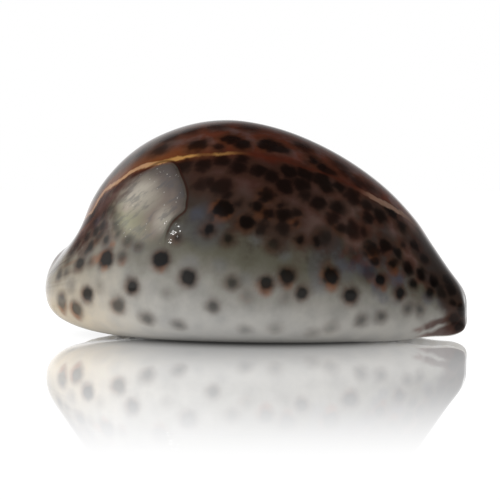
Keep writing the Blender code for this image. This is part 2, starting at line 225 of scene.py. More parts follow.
# Spots beyond the dorsal line, seen at a slant
CREST_SPOTS = [
    (199, 145, 7, .1, .3), (192, 147, 5, .15, .2), (218, 147, 5, .1, .3), (232, 139, 7, .05, .3),
    (226, 139, 5, .1, .3), (243, 145, 7.5, .05, .3), (270, 145, 8.5, .05, .3), (280, 149, 6, .1, .2),
    (303, 147, 6, .3, 0), (322, 167, 6, .05, .2), (314, 161, 6, .05, .2), (330, 171, 5, .15, .1),
    (217, 127, 6, .45, 0), (190, 131, 6, .45, 0), (250, 128, 6, .5, 0), (170, 137, 6, .4, 0),
    (160, 150, 6, .35, 0), (340, 165, 6, .45, 0), (358, 182, 6, .3, 0), (370, 188, 6, .4, 0),
    (345, 172, 5, .3, 0), (128, 161, 4.5, .35, 0), (117, 170, 4, .35, 0), (141, 152, 4.5, .35, 0),
    (105, 184, 4, .35, 0), (97, 196, 3.5, .4, 0),
]
# The amber rims are the spots' own colour; their shift below and behind each spot is painted light, on the
# side where light through the glaze falls.
LIT_SIDE_SHIFT = (-0.7, 0.0, -0.6)   # the amber shows most below each spot and behind it
FAR_SPOT_TRIES, BURIED_SPOT_TRIES = 9000, 5000
FAR_SPOT_RADII, BURIED_SPOT_RADII = (0.8, 1.75), (0.9, 2.0)
BARE_BASE_RISE, BARE_BASE_REACH = 2.2, 15.0     # lower and nearer to the aperture, no spots grow
BURIED_FROM, BURIED_GAP = 1.2, 4.6      # the lowest buried spot, and the space from one to the next
FAR = 9.0               # distances are kept within this
GRAZING = 0.02          # what faces the camera less squarely than this counts as hidden
WIDEST_SLANT = 0.35     # spots are widened for the slant of the surface, but no further than this


def tint(red, green, blue):
    """A colour from its screen values, 0 to 255, as the shader wants it."""
    def unscreen(value):
        value /= 255.0
        return value / 12.92 if value <= 0.04045 else ((value + 0.055) / 1.055) ** 2.4
    return (unscreen(red), unscreen(green), unscreen(blue), 1.0)


CREAM = tint(236, 230, 218)
WARM_CREAM = tint(238, 216, 180)
PORCELAIN = tint(236, 232, 224)
# The next two greys are partly the porcelain's own and partly painted shade: greyer towards the front,
# darker up the flank.
COOL_GREY_AND_PAINTED_SHADE = tint(190, 191, 191)
FLANK_GREY_AND_PAINTED_SHADE = tint(156, 152, 142)
OLIVE_GREY = tint(112, 109, 94)
BURIED_BLUE = tint(118, 122, 130)
MAUVE_BROWN = tint(116, 82, 74)
UMBER = tint(74, 40, 32)
DUSK = tint(72, 67, 61)
PINK_GREY = tint(158, 118, 110)
BLUE_GREY = tint(92, 97, 116)
DEEP_BROWN = tint(30, 22, 19)
SPOT_BLACK = tint(11, 7, 5)
SPOT_BROWN = tint(76, 54, 42)
AMBER = tint(160, 92, 46)
HONEY = tint(238, 178, 104)
TAN = tint(226, 180, 152)
RUST = tint(120, 52, 32)
CREST_RUST = tint(146, 74, 48)
CREST_GREY = tint(100, 89, 81)
BLUSH = tint(214, 194, 180)
SAGE = tint(194, 192, 160)
PATCH_GREY = tint(148, 135, 126)
# The next colour is the patch's pale glaze; it also paints the patch's sheen and the highlight on its rim.
PATCH_PALE_AND_SHEEN = tint(238, 230, 214)
SLATE = tint(92, 94, 100)
LILAC = tint(205, 190, 196)
WHITE = (1.0, 1.0, 1.0, 1.0)
GLAZE_IOR = 1.25        # low, so that the dome mirrors the room no more than the picture shows


# Growing the shell

def smooth_loop(points, per_span=40):
    """A closed centripetal Catmull-Rom curve through the points."""
    points = np.array(points, float)
    count = len(points)
    samples = []
    for i in range(count):
        p0, p1, p2, p3 = (points[(i + k) % count] for k in (-1, 0, 1, 2))
        knots = [0.0]
        for a, b in ((p0, p1), (p1, p2), (p2, p3)):
            knots.append(knots[-1] + math.sqrt(np.linalg.norm(b - a)))
        t0, t1, t2, t3 = knots
        for t in np.linspace(t1, t2, per_span, endpoint=False):
            a1 = ((t1 - t) * p0 + (t - t0) * p1) / (t1 - t0)
            a2 = ((t2 - t) * p1 + (t - t1) * p2) / (t2 - t1)
            a3 = ((t3 - t) * p2 + (t - t2) * p3) / (t3 - t2)
            b1 = ((t2 - t) * a1 + (t - t0) * a2) / (t2 - t0)
            b2 = ((t3 - t) * a2 + (t - t1) * a3) / (t3 - t1)
            samples.append(((t2 - t) * b1 + (t - t1) * b2) / (t2 - t1))
    return np.array(samples)


def evenly(path, steps):
    """steps + 1 points at equal distances along a path of close points."""
    gaps = np.linalg.norm(np.diff(path, axis=0), axis=1)
    along = np.concatenate([[0.0], np.cumsum(gaps)])
    wanted = np.linspace(0.0, along[-1], steps + 1)
    return np.stack([np.interp(wanted, along, path[:, k]) for k in range(path.shape[1])], axis=1)


def smooth_least(a, b, sharpness=4.0):
    """The smaller of two positive numbers, blended where they are alike."""
    return (a ** -sharpness + b ** -sharpness) ** (-1.0 / sharpness)


def smooth_step(low, high, value):
    share = np.clip((value - low) / (high - low), 0.0, 1.0)
    return share * share * (3.0 - 2.0 * share)


def rails():
    """The four lines that carry the cross-sections, each from the back end to the front end."""
    per_span = 40
    back = (BACK_END[0], END_Y[0], BACK_END[1])
    front = (FRONT_END[0], END_Y[1], FRONT_END[1])
    line_x, line_y = zip(*APERTURE_LINE)
    ridge = [(x, RIDGE_Y, z) for x, z in RIDGE]
    keel = [(x, float(np.interp(x, line_x, line_y)), z) for x, z in KEEL]
    profile = smooth_loop([back, *ridge, front, *keel], per_span)
    margin = smooth_loop([back, *OUTER_MARGIN, front, *INNER_MARGIN], per_span)
    turn = (len(ridge) + 1) * per_span
    side_turn = (len(OUTER_MARGIN) + 1) * per_span
    top = profile[: turn + 1]
    bottom = np.vstack([profile[turn:], profile[:1]])[::-1]
    outer = margin[: side_turn + 1]
    inner = np.vstack([margin[side_turn:], margin[:1]])[::-1]
    return [evenly(line, RINGS) for line in (top, bottom, outer, inner)]


def quarter(centre_y, side, extreme, exponent, angles):
    """A quarter of a rounded section, from angle 0 at the top or bottom to 90 degrees at the side."""
    across = np.sin(angles) ** (2.0 / exponent)
    up = np.cos(angles) ** (2.0 / exponent)
    x = side[0] * np.sin(angles) ** 2 + extreme[0] * np.cos(angles) ** 2
    y = centre_y + (side[1] - centre_y) * across
    z = side[2] + (extreme[2] - side[2]) * up
    return np.stack([x, y, z], axis=1)


def to_side(angle):
    """Angles from the given one to the side, closer together where the section turns most."""
    return math.pi / 2 - (math.pi / 2 - angle) * (1.0 - np.linspace(0.0, 1.0, SAMPLES)) ** 2


def base_relief(points, line_y, strength):
    """Lifts the base towards the aperture, and flattens what would reach below the table."""
    lift = TROUGH_DEPTH * strength * np.exp(-(((points[:, 1] - line_y) / TROUGH_REACH) ** 2))
    height = points[:, 2] + lift
    points[:, 2] = (height + np.sqrt(height ** 2 + BASE_EASE ** 2)) / 2.0
    return points


def ease(path, reach=EASE_REACH):
    """The path with its changes of curve softened, but for its two ends."""
    steps = np.arange(len(path))
    from_end = np.minimum(steps, steps[::-1])
    padded = np.pad(path, ((reach, reach), (0, 0)), mode="edge")
    blur = np.hanning(2 * reach + 3)[1:-1]
    eased = np.stack([np.convolve(padded[:, k], blur / blur.sum(), "valid") for k in range(3)], axis=1)
    return path + (eased - path) * smooth_step(0.0, 2.0 * reach, from_end)[:, None]


def lip(start, line_y, half, radius, side):
    """From the base over a rounded lip to the aperture. side is 1 on the inner lip and -1 on the outer."""
    bend = np.linspace(0.0, math.pi / 2, SAMPLES)
    y = line_y + side * (half + radius * (1.0 - np.sin(bend)))
    z = start[2] + radius * (1.0 - np.cos(bend))
    round_part = np.stack([np.full_like(y, start[0]), y, z], axis=1)
    return evenly(np.vstack([start[None, :], round_part]), LIP_STEPS)


def hollow_path(top, bottom, outer, inner, line_y, half, from_point, to_point):
    """The lining: a smaller copy of the section, open below between the two walls of the aperture."""
    length_share = 1.0 - END_WALL / abs(BACK_END[0])
    width_share = 1.0 - SIDE_WALL / abs(OUTER_MARGIN[5][1])
    height = max(z for _, z in RIDGE)
    height_share = (height - TOP_WALL - BASE_WALL) / height

    def shrink(point):
        y = line_y + (point[1] - line_y) * width_share
        return np.array([point[0] * length_share, y, BASE_WALL + point[2] * height_share])

    top, bottom, outer, inner = (shrink(p) for p in (top, bottom, outer, inner))
    quarter_turn = math.pi / 2
    exponent = HOLLOW_SQUARENESS

    def gap_angle(side):
        return math.asin(min(1.0, half / abs(side[1] - line_y)) ** (exponent / 2.0))

    return np.vstack([
        from_point[None, :],
        quarter(line_y, inner, bottom, exponent, np.linspace(gap_angle(inner), quarter_turn, SAMPLES)),
        quarter(top[1], inner, top, exponent, np.linspace(quarter_turn, 0.0, SAMPLES))[1:],
        quarter(top[1], outer, top, exponent, np.linspace(0.0, quarter_turn, SAMPLES))[1:],
        quarter(line_y, outer, bottom, exponent, np.linspace(quarter_turn, gap_angle(outer), SAMPLES))[1:],
        to_point[None, :],
    ])


def canal_depth(index, keel):
    """0 at the ends of the shell, where there is no fold, and 1 where the aperture is fully open."""
    gap = np.linalg.norm(keel[1] - keel[0])
    from_end = gap * min(index, RINGS - index)
    return smooth_step(CANAL_START, CANAL_OPEN, from_end)


def tooth_wave(index):
    """1 on the crest of a tooth and -1 in the groove beside it."""
    wave = -math.cos(math.pi * index / GRAIN)
    return math.copysign(abs(wave) ** TOOTH_ROUNDNESS, wave)


def add_teeth(folded, index, x):
    """Raises or sinks both lips in turn along the aperture, but never below the table."""
    fade = smooth_step(TOOTH_FIRST, TOOTH_FIRST + TOOTH_FADE, x) * (
        1.0 - smooth_step(TOOTH_LAST - TOOTH_FADE, TOOTH_LAST, x))
    height = TOOTH_HEIGHT * fade * tooth_wave(index)
    along = np.gradient(folded, axis=0)
    normal = np.stack([np.zeros(len(folded)), along[:, 2], -along[:, 1]], axis=1)
    normal /= np.maximum(np.linalg.norm(normal, axis=1), 1e-9)[:, None]
    window = np.zeros(len(folded))
    rise = np.sin(math.pi * np.clip(np.linspace(-0.32, 0.8, LIP_STEPS + 1), 0.0, 1.0)) ** 1.2
    window[: LIP_STEPS + 1] = rise
    window[-LIP_STEPS - 1:] = rise[::-1]
    toothed = folded - normal * (height * window)[:, None]
    toothed[:, 2] = np.maximum(toothed[:, 2], 0.0)
    return toothed


def cross_section(index, lines):
    """One closed loop: over the outside, in over one lip, round the hollow, out over the other lip."""
    top, bottom, outer, inner = (line[index] for line in lines)
    line_y = bottom[1]
    half_width = (inner[1] - outer[1]) / 2.0
    strength = min(1.0, half_width / 20.0)
    end_squareness = END_SQUARENESS[0 if bottom[0] < 0 else 1]
    squareness = end_squareness + (BASE_SQUARENESS - end_squareness) * strength
    half_x, half_values = zip(*APERTURE_HALF)
    half = smooth_least(float(np.interp(bottom[0], half_x, half_values)), HALF_SHARE * half_width)
    radius = smooth_least(LIP_RADIUS, LIP_RADIUS_SHARE * half_width)
    flat = smooth_least(LIP_FLAT, LIP_FLAT_SHARE * half_width)
    reach = half + radius + flat

    def start_angle(side):
        return math.asin(min(1.0, reach / abs(side[1] - line_y)) ** (squareness / 2.0))

    quarter_turn = math.pi / 2
    down_outer = quarter(line_y, outer, bottom, squareness, to_side(start_angle(outer)))
    up_outer = quarter(top[1], outer, top, 2.0, np.linspace(quarter_turn, 0.0, SAMPLES))
    up_inner = quarter(top[1], inner, top, 2.0, np.linspace(0.0, quarter_turn, SAMPLES))
    down_inner = quarter(line_y, inner, bottom, squareness, to_side(start_angle(inner))[::-1])
    base_relief(down_outer, line_y, strength)
    base_relief(down_inner, line_y, strength)
    outside = evenly(np.vstack([down_outer, up_outer[1:], up_inner[1:], down_inner[1:]]), OUTSIDE_STEPS)
    outside = ease(outside)

    inner_lip = lip(outside[-1], line_y, half, radius, 1.0)
    outer_lip = lip(outside[0], line_y, half, radius, -1.0)[::-1]
    hollow = evenly(hollow_path(top, bottom, outer, inner, line_y, half, inner_lip[-1], outer_lip[0]),
                    INSIDE_STEPS)
    folded = np.vstack([inner_lip, hollow[1:-1], outer_lip])

    # Towards each end the fold grows shallow, and at the very end it lies flush with the outside.
    flush = np.vstack([
        quarter(line_y, inner, bottom, squareness, np.linspace(start_angle(inner), 0.0, SAMPLES)),
        quarter(line_y, outer, bottom, squareness, np.linspace(0.0, start_angle(outer), SAMPLES))[1:],
    ])
    base_relief(flush, line_y, strength)
    flush = evenly(flush, len(folded) - 1)
    folded = flush + (folded - flush) * canal_depth(index, lines[1])
    folded = add_teeth(folded, index, bottom[0])
    return np.vstack([outside[:-1], folded[:-1]])


def notch_ends(points):
    """Draws the middle of each end in, so that the lips stand out on both sides of the canals."""
    back = points[..., 0] < 0
    near_end = smooth_step(DENT_FROM, DENT_TO, np.abs(points[..., 0]))
    across = np.exp(-(((points[..., 1] - np.where(back, *END_Y)) / CANAL_DENT_REACH) ** 2))
    above = np.maximum(points[..., 2] - np.where(back, BACK_END[1], FRONT_END[1]), 0.0)
    near_end = near_end * np.exp(-((above / np.where(back, *CANAL_DENT_RISE)) ** 2))
    points[..., 0] -= np.sign(points[..., 0]) * np.where(back, *CANAL_DENT) * near_end * across
    return points


def draw_in_shoulder(points):
    """Narrows the back of the dome above its rim, so that the rim stands out round the end."""
    beside_ridge = 1.0 - np.exp(-(((points[..., 1] - RIDGE_Y) / SHOULDER_REACH) ** 2))
    height = smooth_step(SHOULDER_LOW, SHOULDER_HIGH, points[..., 2])
    along = smooth_step(-SHOULDER_FROM, -SHOULDER_TO, -points[..., 0])
    points[..., 0] += SHOULDER_DRAW * beside_ridge * height * along
    return points


def sink_spire(points):
    """The shallow dimple at the back, on the inner lip's side, over the sunken spire."""
    away = points - np.array(SPIRE_PLACE)
    points[..., 0] += SPIRE_DEPTH * np.exp(-(np.linalg.norm(away, axis=-1) / SPIRE_REACH) ** 2)
    return points


def shell_points():
    """The back end, the cross-sections as (section, column, xyz), and the front end."""
    lines = rails()
    sections = np.stack([cross_section(i, lines) for i in range(1, RINGS)])
    columns = sections.shape[1]
    ends = [np.tile(lines[0][i], (columns, 1)) for i in (0, RINGS)]
    points = np.concatenate([ends[0][None], sections, ends[1][None]])
    points = sink_spire(draw_in_shoulder(notch_ends(points)))
    low = points.min(axis=(0, 1))
    high = points.max(axis=(0, 1))
    points[..., :2] -= (low[:2] + high[:2]) / 2.0
    return points


class Shell:
    """The grown surface: its corners, its faces, and where each corner is on it."""

    def __init__(self):
        grid = shell_points()
        rows, self.columns = grid.shape[0] - 2, grid.shape[1]
        self.corners = np.vstack([grid[0, :1], grid[1:-1].reshape(-1, 3), grid[-1, :1]])
        last = len(self.corners) - 1
        row, column = np.meshgrid(np.arange(rows - 1), np.arange(self.columns), indexing="ij")
        after = (column + 1) % self.columns
        here, beside = 1 + row * self.columns + column, 1 + row * self.columns + after
        quads = np.stack([here, here + self.columns, beside + self.columns, beside], axis=-1).reshape(-1, 4)
        ring = np.arange(self.columns)
        following = (ring + 1) % self.columns
        start = 1 + (rows - 1) * self.columns
        back = np.stack([np.zeros_like(ring), 1 + ring, 1 + following], axis=1)
        front = np.stack([np.full_like(ring, last), start + following, start + ring], axis=1)
        self.faces = back.tolist() + quads.tolist() + front.tolist()
        columns_of = np.concatenate([[0], np.tile(np.arange(self.columns), rows), [0]])
        self.outside = columns_of <= OUTSIDE_STEPS
        self.around = np.clip(columns_of / OUTSIDE_STEPS, 0.0, 1.0)
        sections = np.concatenate([[0], np.repeat(np.arange(1, rows + 1), self.columns), [rows + 1]])
        self.groove = np.array([0.5 - 0.5 * tooth_wave(i) for i in range(rows + 2)])[sections]
        inside_from = OUTSIDE_STEPS + LIP_STEPS
        inside_to = self.columns - LIP_STEPS
        self.lip = ((columns_of > OUTSIDE_STEPS - LIP_MARGIN) & (columns_of < inside_from)) | (
            columns_of > inside_to) | (columns_of < LIP_MARGIN)
        self.hollow = (columns_of >= inside_from) & (columns_of <= inside_to)
        self.normals = self.face_outwards()
        self.tree = BVHTree.FromPolygons(self.corners.tolist(), self.faces)

    def face_outwards(self):
        """Corner normals, with the faces turned so that they point out of the wall."""
        normals = self.corner_normals()
        top = int(np.argmax(self.corners[:, 2]))
        if normals[top, 2] < 0:
            self.faces = [face[::-1] for face in self.faces]
            normals = -normals
        return normals

    def corner_normals(self):
        normals = np.zeros_like(self.corners)
        for sides in (3, 4):
            faces = np.array([f for f in self.faces if len(f) == sides])
            across = self.corners[faces[:, 2]] - self.corners[faces[:, 0]]
            over = self.corners[faces[:, -1]] - self.corners[faces[:, 1]]
            flat = np.cross(across, over)
            for k in range(sides):
                np.add.at(normals, faces[:, k], flat)
        return normals / np.maximum(np.linalg.norm(normals, axis=1), 1e-12)[:, None]


# Looking at the shell from the camera

class Sight:
    """Turns places in the picture into places on the shell, and back."""

    def __init__(self):
        turn, rise = math.radians(CAMERA_TURN), math.radians(CAMERA_RISE)
        self.back = np.array([
            math.sin(turn) * math.cos(rise), -math.cos(turn) * math.cos(rise), math.sin(rise)])
        self.right = np.array([math.cos(turn), math.sin(turn), 0.0])
        self.up = np.cross(self.back, self.right)
        self.place = self.back * CAMERA_AWAY + self.right * CAMERA_ACROSS + self.up * CAMERA_UP
        self.reach = LENS / SENSOR * PICTURE

    def seen(self, points):
        """Where each point stands in the picture."""
        offset = points - self.place
        depth = -(offset @ self.back)
        return np.stack([PICTURE / 2 + self.reach * (offset @ self.right) / depth,
                         PICTURE / 2 - self.reach * (offset @ self.up) / depth], axis=1)

    def facing(self, points, normals):
        """How squarely each point faces the camera, under 0 where it faces away."""
        towards = self.place - points
        return (towards / np.linalg.norm(towards, axis=1)[:, None] * normals).sum(axis=1)

    def cast(self, tree, place):
        """The point of the shell at a place in the picture, with its normal."""
        ray = (self.right * (place[0] - PICTURE / 2) - self.up * (place[1] - PICTURE / 2)
               - self.back * self.reach)
        point, normal, _, _ = tree.ray_cast(Vector(self.place), Vector(ray).normalized())
        if point is None:
            point, normal, _, _ = tree.find_nearest(
                Vector(self.place) + Vector(ray).normalized() * CAMERA_AWAY)
        return np.array(point), np.array(normal)


PIXELS_PER_MM = LENS / SENSOR * PICTURE / CAMERA_AWAY


def away_from_outline(places, outline):
    """The distance of flat places from an outline of straight stretches."""
    nearest = np.full(len(places), np.inf)
    for a, b in zip(outline, np.roll(outline, -1, axis=0)):
        along = b - a
        share = np.clip(((places - a) @ along) / (along @ along), 0.0, 1.0)
        nearest = np.minimum(nearest, np.linalg.norm(places - a - share[:, None] * along, axis=1))
    return nearest


def within(places, outline):
    """Whether each flat place is inside the outline."""
    inside = np.zeros(len(places), bool)
    for a, b in zip(outline, np.roll(outline, -1, axis=0)):
        crosses = (a[1] > places[:, 1]) != (b[1] > places[:, 1])
        if abs(b[1] - a[1]) > 1e-9:
            at = a[0] + (places[:, 1] - a[1]) / (b[1] - a[1]) * (b[0] - a[0])
            inside ^= crosses & (places[:, 0] < at)
    return inside


# What grows where

def hidden(shell, sight):
    """Whether each corner is inside the shell or faces away from the camera."""
    return ~shell.outside | (sight.facing(shell.corners, shell.normals) < GRAZING)


def patch_depth(shell, sight):
    """How deep inside the thick patch of glaze each corner is, in millimetres, negative outside."""
    places = sight.seen(shell.corners)
    outline = smooth_loop(GLAZE_PATCH, per_span=6)
    away = away_from_outline(places, outline) / PIXELS_PER_MM
    depth = np.where(within(places, outline), away, -away)
    return np.where(hidden(shell, sight), -FAR, np.clip(depth, -FAR, FAR))


def raise_patch(shell, sight):
    """Lifts the patch of glaze off the dome, with a rounded ledge that runs out towards the back."""
    depth = patch_depth(shell, sight)
    sharp = smooth_step(PATCH_FUZZY_TO, PATCH_SHARP_FROM, sight.seen(shell.corners)[:, 0])
    low, high = (fuzzy + (crisp - fuzzy) * sharp for crisp, fuzzy in zip(PATCH_LEDGE, FUZZY_LEDGE))
    share = np.clip((depth - low) / (high - low), 0.0, 1.0)
    rise = PATCH_RISE * np.sin(share * math.pi / 2) * smooth_step(*PATCH_FADES, shell.corners[:, 2])
    shell.corners += shell.normals * rise[:, None]


def dorsal_distance(shell, sight):
    """The distance from the dorsal line, positive towards the crest and the far side."""
    found = []
    seen_steps, back_steps, front_steps = DORSAL_STEPS
    for a, b in zip(np.array(DORSAL_LINE[:-1]), np.array(DORSAL_LINE[1:])):
        for share in np.linspace(0.0, 1.0, seen_steps, endpoint=False):
            found.append(sight.cast(shell.tree, a + (b - a) * share))
    xs, ys = zip(*DORSAL_RUN_ON)
    high_up, down = 2.0 * max(z for _, z in RIDGE), Vector((0.0, 0.0, -1.0))
    for x in (*np.linspace(xs[0], xs[1], back_steps), *np.linspace(xs[2], xs[3], front_steps)):
        point, normal, _, _ = shell.tree.ray_cast(Vector((x, np.interp(x, xs, ys), high_up)), down)
        if point is not None:
            found.append((np.array(point), np.array(normal)))
    found.sort(key=lambda pair: pair[0][0])
    places, normals = (np.array(kind) for kind in zip(*found))
    places = np.stack([np.convolve(np.pad(places[:, k], 4, mode="edge"), np.ones(9) / 9, "valid")
                       for k in range(3)], axis=1)
    tangents = np.gradient(places, axis=0)
    sides = np.cross(normals, tangents)
    sides *= np.sign(sides[:, 1:2]) + (sides[:, 1:2] == 0)
    nearest = np.zeros(len(shell.corners), int)
    best = np.full(len(shell.corners), np.inf)
    for i, place in enumerate(places):
        gap = ((shell.corners - place) ** 2).sum(axis=1)
        closer = gap < best
        best[closer] = gap[closer]
        nearest[closer] = i
    offset = shell.corners - places[nearest]
    sign = np.sign((offset * sides[nearest]).sum(axis=1))
    return np.clip(np.sqrt(best) * sign, -FAR, FAR)


def dome_height(shell):
    """How far each corner is above the edge of the dark dome, as it would be at the shell's middle."""
    xs, zs = zip(*DOME_EDGE)
    edge = np.interp(shell.corners[:, 0], xs, zs)
    edge += FAR_DOME_EDGE_LIFT * smooth_step(FAR_SIDE_FROM, FAR_SIDE_TO, shell.corners[:, 1])
    return (shell.corners[:, 2] - edge) / edge * DOME_EDGE_SCALE


def veil_share(shell, sight):
    """The thin blue-grey veil under the dome's middle, with a crisp upper edge."""
    places = sight.seen(shell.corners)
    reach = np.linalg.norm((places - np.array(VEIL_MIDDLE)) / np.array(VEIL_REACH), axis=1)
    xs, ys = zip(*VEIL_EDGE)
    below = (places[:, 1] - np.interp(places[:, 0], xs, ys)) / PIXELS_PER_MM
    share = (1.0 - smooth_step(0.5, 1.0, reach)) * smooth_step(-0.2, 0.7, below)
    return np.where(hidden(shell, sight), 0.0, share)


def pale_and_sheen_share(shell, sight):
    """Where the thick patch of glaze is palest: partly its pale colour, partly a painted sheen of mirrored
    light.
    """
    places = sight.seen(shell.corners)
    share = np.zeros(len(places))
    for across, down, *reaches in PALE_GLAZE_AND_SHEEN:
        reach = np.linalg.norm((places - np.array((across, down))) / np.array(reaches), axis=1)
        share = np.maximum(share, 1.0 - smooth_step(0.1, 1.1, reach))
    return np.where(hidden(shell, sight), 0.0, share)


def cloud_share(shell, sight, clouds):
    """Soft clouds of colour under the glaze, on the camera's side."""
    share = np.zeros(len(shell.corners))
    for across, down, radius in clouds:
        point, _ = sight.cast(shell.tree, (across, down))
        away = np.linalg.norm(shell.corners - point, axis=1) * PIXELS_PER_MM / radius
        share = np.maximum(share, 1.0 - smooth_step(0.3, 1.5, away))
    return share


def near_spots(shell, sight):
    """The spots on the camera's side, each where the picture has it."""
    spots = []
    for across, down, radius, faintness, amber in (
            BACK_SPOTS + BACK_STROKES + FLANK_SPOTS + DOME_SPOTS + FRONT_SPOTS + CREST_SPOTS):
        point, normal = sight.cast(shell.tree, (across, down))
        squarely = float(sight.facing(point[None], normal[None])[0])
        radius /= PIXELS_PER_MM * math.sqrt(max(squarely, WIDEST_SLANT))
        spots.append((point, radius, faintness, amber))
    return spots


def far_spots(shell, sight, dome, taken, chance):
    """Spots in the same manner for the rest of the shell: crowded on the dome, few and faint below."""
    corners = shell.corners
    away_from_camera = sight.facing(corners, shell.normals) < 2.0 * GRAZING
    line_x, line_y = zip(*APERTURE_LINE)
    from_aperture = np.abs(corners[:, 1] - np.interp(corners[:, 0], line_x, line_y))
    off_base = (corners[:, 2] > BARE_BASE_RISE) | (from_aperture > BARE_BASE_REACH)
    open_ground = shell.outside & away_from_camera & off_base
    tries = chance.permutation(np.flatnonzero(open_ground))[:FAR_SPOT_TRIES]
    centres, radii = [spot[0] for spot in taken], [spot[1] for spot in taken]
    spots = []
    for i in tries:
        over = dome[i]
        high = float(smooth_step(-3.0, 3.0, over))
        low = float(smooth_step(-4.0, -14.0, over)) if over < -4.0 else 0.0
        radius = chance.uniform(*FAR_SPOT_RADII) * (0.85 + 0.3 * high) * (1.0 - 0.25 * low)
        space = 0.35 + 1.9 * (1.0 - high) + 1.6 * low
        gap = np.linalg.norm(np.array(centres) - corners[i], axis=1) - np.array(radii) - radius
        if gap.min() < space:
            continue
        faintness = chance.uniform(0.0, 0.3) + 0.35 * (1.0 - high) * chance.uniform(0.0, 1.0) + 0.5 * low
        spots.append((corners[i], radius, min(0.95, faintness), chance.uniform(0.0, 0.5) ** 1.5))
        centres.append(corners[i])
        radii.append(radius)
    return spots


def buried_spots(shell, chance):
    """Older spots that lie deep under the glaze."""
    above_base = shell.outside & (shell.corners[:, 2] > BURIED_FROM)
    tries = chance.permutation(np.flatnonzero(above_base))[:BURIED_SPOT_TRIES]
    spots = []
    centres = np.empty((0, 3))
    for i in tries:
        place = shell.corners[i]
        if len(centres) and np.linalg.norm(centres - place, axis=1).min() < BURIED_GAP:
            continue
        centres = np.vstack([centres, place])
        spots.append((place, chance.uniform(*BURIED_SPOT_RADII), 0.0, 0.0))
    return spots


def spot_fields(shell, spots):
    """For each corner: distance past the nearest spot's edge, its faintness, and the amber of its rim,
    shifted to its lit side as painted light.
    """
    edge = np.full(len(shell.corners), FAR)
    faint_sum = np.zeros(len(shell.corners))
    weight_sum = np.full(len(shell.corners), 1e-12)
    amber = np.zeros(len(shell.corners))
    for place, radius, faintness, rim in spots:
        reach = radius + FAR
        near = np.flatnonzero(np.abs(shell.corners - place).max(axis=1) < reach)
        away = np.linalg.norm(shell.corners[near] - place, axis=1) - radius
        edge[near] = np.minimum(edge[near], away)
        weight = np.exp(-4.0 * np.clip(away, -2.0, 6.0))
        faint_sum[near] += weight * faintness
        weight_sum[near] += weight
        if rim > 0.0:
            below = np.linalg.norm(shell.corners[near] - place - LIT_SIDE_SHIFT, axis=1) - radius
            amber[near] = np.maximum(amber[near], rim * (1.0 - smooth_step(-0.3, 1.0, below)))
    return edge, faint_sum / weight_sum, amber


def dress_shell(mesh, shell, sight):
    """Writes down on each corner what grows there, for the glaze to read."""
    chance = np.random.default_rng(SEED)
    dome = dome_height(shell)
    near = near_spots(shell, sight)
    far = far_spots(shell, sight, dome, near, chance)
    spot_edge, spot_faint, amber = spot_fields(shell, near + far)
    buried_edge, _, _ = spot_fields(shell, buried_spots(shell, chance))
    notes = {
        "spot_edge": spot_edge,
        "spot_faint": spot_faint,
        "amber_rim_and_lit_side": amber,
        "buried_edge": buried_edge,
        "dome": dome,
        "dorsal": dorsal_distance(shell, sight),
        "patch": patch_depth(shell, sight),
        "veil": veil_share(shell, sight),
        "pale_glaze_and_sheen": pale_and_sheen_share(shell, sight),
        "blue_cloud": cloud_share(shell, sight, BLUE_CLOUDS),
        "amber_cloud": cloud_share(shell, sight, AMBER_CLOUDS),
        "around": shell.around,
        "lip": shell.lip,
        "hollow": shell.hollow,
        "groove": shell.groove * shell.lip,
    }
    for name, values in notes.items():
        note = mesh.attributes.new(name, "FLOAT", "POINT")
        note.data.foreach_set("value", np.asarray(values, np.float32))


# Shader values and nodes

class Value:
    """A number, vector or colour that varies over a surface. Arithmetic on it adds Math nodes."""

    def __init__(self, finish, socket):
        self.finish = finish
        self.socket = socket

    def math(self, operation, first, second=0.0):
        return self.finish.node("ShaderNodeMath", {"operation": operation}, {0: first, 1: second})

    def __add__(self, other):
        return self.math("ADD", self, other)

    def __radd__(self, other):
        return self.math("ADD", other, self)

    def __sub__(self, other):
        return self.math("SUBTRACT", self, other)

    def __rsub__(self, other):
        return self.math("SUBTRACT", other, self)

    def __mul__(self, other):
        return self.math("MULTIPLY", self, other)

    def __rmul__(self, other):
        return self.math("MULTIPLY", other, self)

    def __truediv__(self, other):
        return self.math("DIVIDE", self, other)

    def __rtruediv__(self, other):
        return self.math("DIVIDE", other, self)

    def least(self, other):
        return self.math("MINIMUM", self, other)

    def most(self, other):
        return self.math("MAXIMUM", self, other)

    def rising(self, low, high):
        """0 below low, 1 above high, and smooth between."""
        return self.finish.node("ShaderNodeMapRange", {"interpolation_type": "SMOOTHSTEP"},
                                {"Value": self, "From Min": low, "From Max": high})

    def falling(self, low, high):
        return 1.0 - self.rising(low, high)


